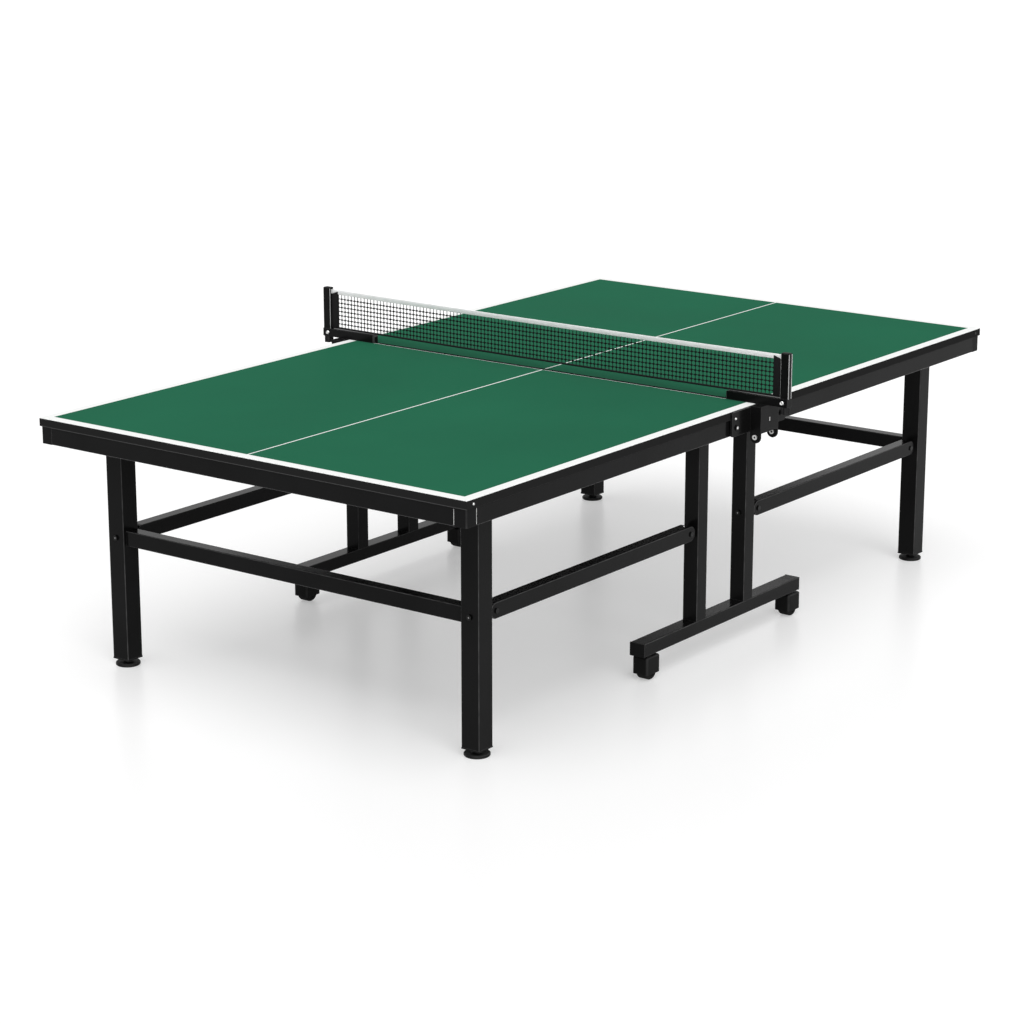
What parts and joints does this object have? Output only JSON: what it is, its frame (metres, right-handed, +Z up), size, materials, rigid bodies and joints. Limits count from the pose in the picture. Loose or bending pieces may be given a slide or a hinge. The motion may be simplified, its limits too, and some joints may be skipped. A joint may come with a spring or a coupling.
{
  "type": "ping pong table",
  "caption": "Folding table tennis table: two green half tops on square-tube leg frames that swing up about a wheeled centre frame, with a clamped net across the middle.",
  "frame": {"origin": "on the floor below the middle of the net", "axes": "+X along the table towards the rear half, +Y to the left side, +Z up"},
  "size_m": [2.74, 1.743, 0.9165],
  "materials": {
    "green_top": "satin green lacquer on board, black edge, white lines",
    "black_steel": "satin black powder coat",
    "bolt_steel": "zinc-plated bolts, with pins and bolt shanks blackened",
    "black_plastic": "moulded black plastic",
    "black_rubber": "matt black rubber",
    "net_cloth": "black knotted mesh with a white top tape"
  },
  "bodies": {
    "undercarriage": {"base_rail_left": "black_steel", "base_rail_right": "black_steel", "base_caps": "black_plastic", "uprights": "black_steel", "head_plates": "black_steel", "frame_cross_members": "black_steel", "upright_lugs": "black_steel", "centre_pins": "bolt_steel", "net_struts": "black_steel", "net_holders": "black_steel", "net_arms": "black_steel", "net_posts": "black_steel", "net": "net_cloth"},
    "front_half": {"top_panel_front": "green_top", "end_rail_front": "black_steel", "cross_rail_front": "black_steel", "corner_joints_front": "black_plastic", "pivot_bushes_front": "black_plastic", "leg_hinge_brackets_front": "black_steel", "side_rail_front_left": "black_steel", "side_rail_front_right": "black_steel"},
    "front_legs": {"leg_cross_bar_front": "black_steel", "leg_brackets_front": "black_steel", "leg_plugs_front": "black_plastic", "leg_pins_front": "bolt_steel", "leg_front_left": "black_steel", "leg_front_right": "black_steel"},
    "link_front_left": {"link_bar_front_left": "black_steel"},
    "foot_front_left": {"levelling_foot_front_left": "black_rubber"},
    "caster_front_left": {"caster_fork_front_left": "black_plastic"},
    "wheel_front_left": {"caster_wheel_front_left": "black_rubber"},
    "link_front_right": {"link_bar_front_right": "black_steel"},
    "foot_front_right": {"levelling_foot_front_right": "black_rubber"},
    "caster_front_right": {"caster_fork_front_right": "black_plastic"},
    "wheel_front_right": {"caster_wheel_front_right": "black_rubber"},
    "rear_half": {"top_panel_rear": "green_top", "end_rail_rear": "black_steel", "cross_rail_rear": "black_steel", "corner_joints_rear": "black_plastic", "pivot_bushes_rear": "black_plastic", "leg_hinge_brackets_rear": "black_steel", "side_rail_rear_left": "black_steel", "side_rail_rear_right": "black_steel"},
    "rear_legs": {"leg_cross_bar_rear": "black_steel", "leg_brackets_rear": "black_steel", "leg_plugs_rear": "black_plastic", "leg_pins_rear": "bolt_steel", "leg_rear_left": "black_steel", "leg_rear_right": "black_steel"},
    "link_rear_left": {"link_bar_rear_left": "black_steel"},
    "foot_rear_left": {"levelling_foot_rear_left": "black_rubber"},
    "caster_rear_left": {"caster_fork_rear_left": "black_plastic"},
    "wheel_rear_left": {"caster_wheel_rear_left": "black_rubber"},
    "link_rear_right": {"link_bar_rear_right": "black_steel"},
    "foot_rear_right": {"levelling_foot_rear_right": "black_rubber"},
    "caster_rear_right": {"caster_fork_rear_right": "black_plastic"},
    "wheel_rear_right": {"caster_wheel_rear_right": "black_rubber"},
    "knob_left": {"clamp_knob_left": "black_plastic"},
    "knob_right": {"clamp_knob_right": "black_plastic"}
  },
  "joints": [
    {"name": "fold_front", "type": "hinge", "parent": "undercarriage", "child": "front_half", "pos_m": [-0.12, 0, 0.71], "axis": [0, 1, 0], "range_deg": [0, 90]},
    {"name": "legs_front", "type": "hinge", "parent": "front_half", "child": "front_legs", "pos_m": [-1.052, 0, 0.71], "axis": [0, -1, 0], "range_deg": [0, 90]},
    {"name": "link_front_left", "type": "hinge", "parent": "undercarriage", "child": "link_front_left", "pos_m": [-0.183, 0.6425, 0.39], "axis": [0, 1, 0], "range_deg": [0, 90]},
    {"name": "level_front_left", "type": "slide", "parent": "front_legs", "child": "foot_front_left", "axis": [0, 0, -1], "range_m": [0, 0.015]},
    {"name": "swivel_front_left", "type": "hinge", "parent": "undercarriage", "child": "caster_front_left", "pos_m": [-0.387, 0.6425, 0.078], "axis": [0, 0, 1], "continuous": true},
    {"name": "roll_front_left", "type": "hinge", "parent": "caster_front_left", "child": "wheel_front_left", "pos_m": [-0.377, 0.6425, 0.027], "axis": [0, 1, 0], "continuous": true},
    {"name": "link_front_right", "type": "hinge", "parent": "undercarriage", "child": "link_front_right", "pos_m": [-0.183, -0.6425, 0.39], "axis": [0, 1, 0], "range_deg": [0, 90]},
    {"name": "level_front_right", "type": "slide", "parent": "front_legs", "child": "foot_front_right", "axis": [0, 0, -1], "range_m": [0, 0.015]},
    {"name": "swivel_front_right", "type": "hinge", "parent": "undercarriage", "child": "caster_front_right", "pos_m": [-0.387, -0.6425, 0.078], "axis": [0, 0, 1], "continuous": true},
    {"name": "roll_front_right", "type": "hinge", "parent": "caster_front_right", "child": "wheel_front_right", "pos_m": [-0.377, -0.6425, 0.027], "axis": [0, 1, 0], "continuous": true},
    {"name": "fold_rear", "type": "hinge", "parent": "undercarriage", "child": "rear_half", "pos_m": [0.12, 0, 0.71], "axis": [0, -1, 0], "range_deg": [0, 90]},
    {"name": "legs_rear", "type": "hinge", "parent": "rear_half", "child": "rear_legs", "pos_m": [1.052, 0, 0.71], "axis": [0, 1, 0], "range_deg": [0, 90]},
    {"name": "link_rear_left", "type": "hinge", "parent": "undercarriage", "child": "link_rear_left", "pos_m": [0.183, 0.6425, 0.39], "axis": [0, -1, 0], "range_deg": [0, 90]},
    {"name": "level_rear_left", "type": "slide", "parent": "rear_legs", "child": "foot_rear_left", "axis": [0, 0, -1], "range_m": [0, 0.015]},
    {"name": "swivel_rear_left", "type": "hinge", "parent": "undercarriage", "child": "caster_rear_left", "pos_m": [0.387, 0.6425, 0.078], "axis": [0, 0, 1], "continuous": true},
    {"name": "roll_rear_left", "type": "hinge", "parent": "caster_rear_left", "child": "wheel_rear_left", "pos_m": [0.397, 0.6425, 0.027], "axis": [0, 1, 0], "continuous": true},
    {"name": "link_rear_right", "type": "hinge", "parent": "undercarriage", "child": "link_rear_right", "pos_m": [0.183, -0.6425, 0.39], "axis": [0, -1, 0], "range_deg": [0, 90]},
    {"name": "level_rear_right", "type": "slide", "parent": "rear_legs", "child": "foot_rear_right", "axis": [0, 0, -1], "range_m": [0, 0.015]},
    {"name": "swivel_rear_right", "type": "hinge", "parent": "undercarriage", "child": "caster_rear_right", "pos_m": [0.387, -0.6425, 0.078], "axis": [0, 0, 1], "continuous": true},
    {"name": "roll_rear_right", "type": "hinge", "parent": "caster_rear_right", "child": "wheel_rear_right", "pos_m": [0.397, -0.6425, 0.027], "axis": [0, 1, 0], "continuous": true},
    {"name": "net_clamp_left", "type": "hinge", "parent": "undercarriage", "child": "knob_left", "pos_m": [0, 0.8575, 0.75], "axis": [0, 0, 1], "continuous": true},
    {"name": "net_clamp_right", "type": "hinge", "parent": "undercarriage", "child": "knob_right", "pos_m": [0, -0.8575, 0.75], "axis": [0, 0, 1], "continuous": true}
  ],
  "couplings": [
    {"joint": "legs_front", "follows": "fold_front", "ratio": 1},
    {"joint": "link_front_left", "follows": "fold_front", "ratio": 1},
    {"joint": "link_front_right", "follows": "fold_front", "ratio": 1},
    {"joint": "legs_rear", "follows": "fold_rear", "ratio": 1},
    {"joint": "link_rear_left", "follows": "fold_rear", "ratio": 1},
    {"joint": "link_rear_right", "follows": "fold_rear", "ratio": 1}
  ]
}
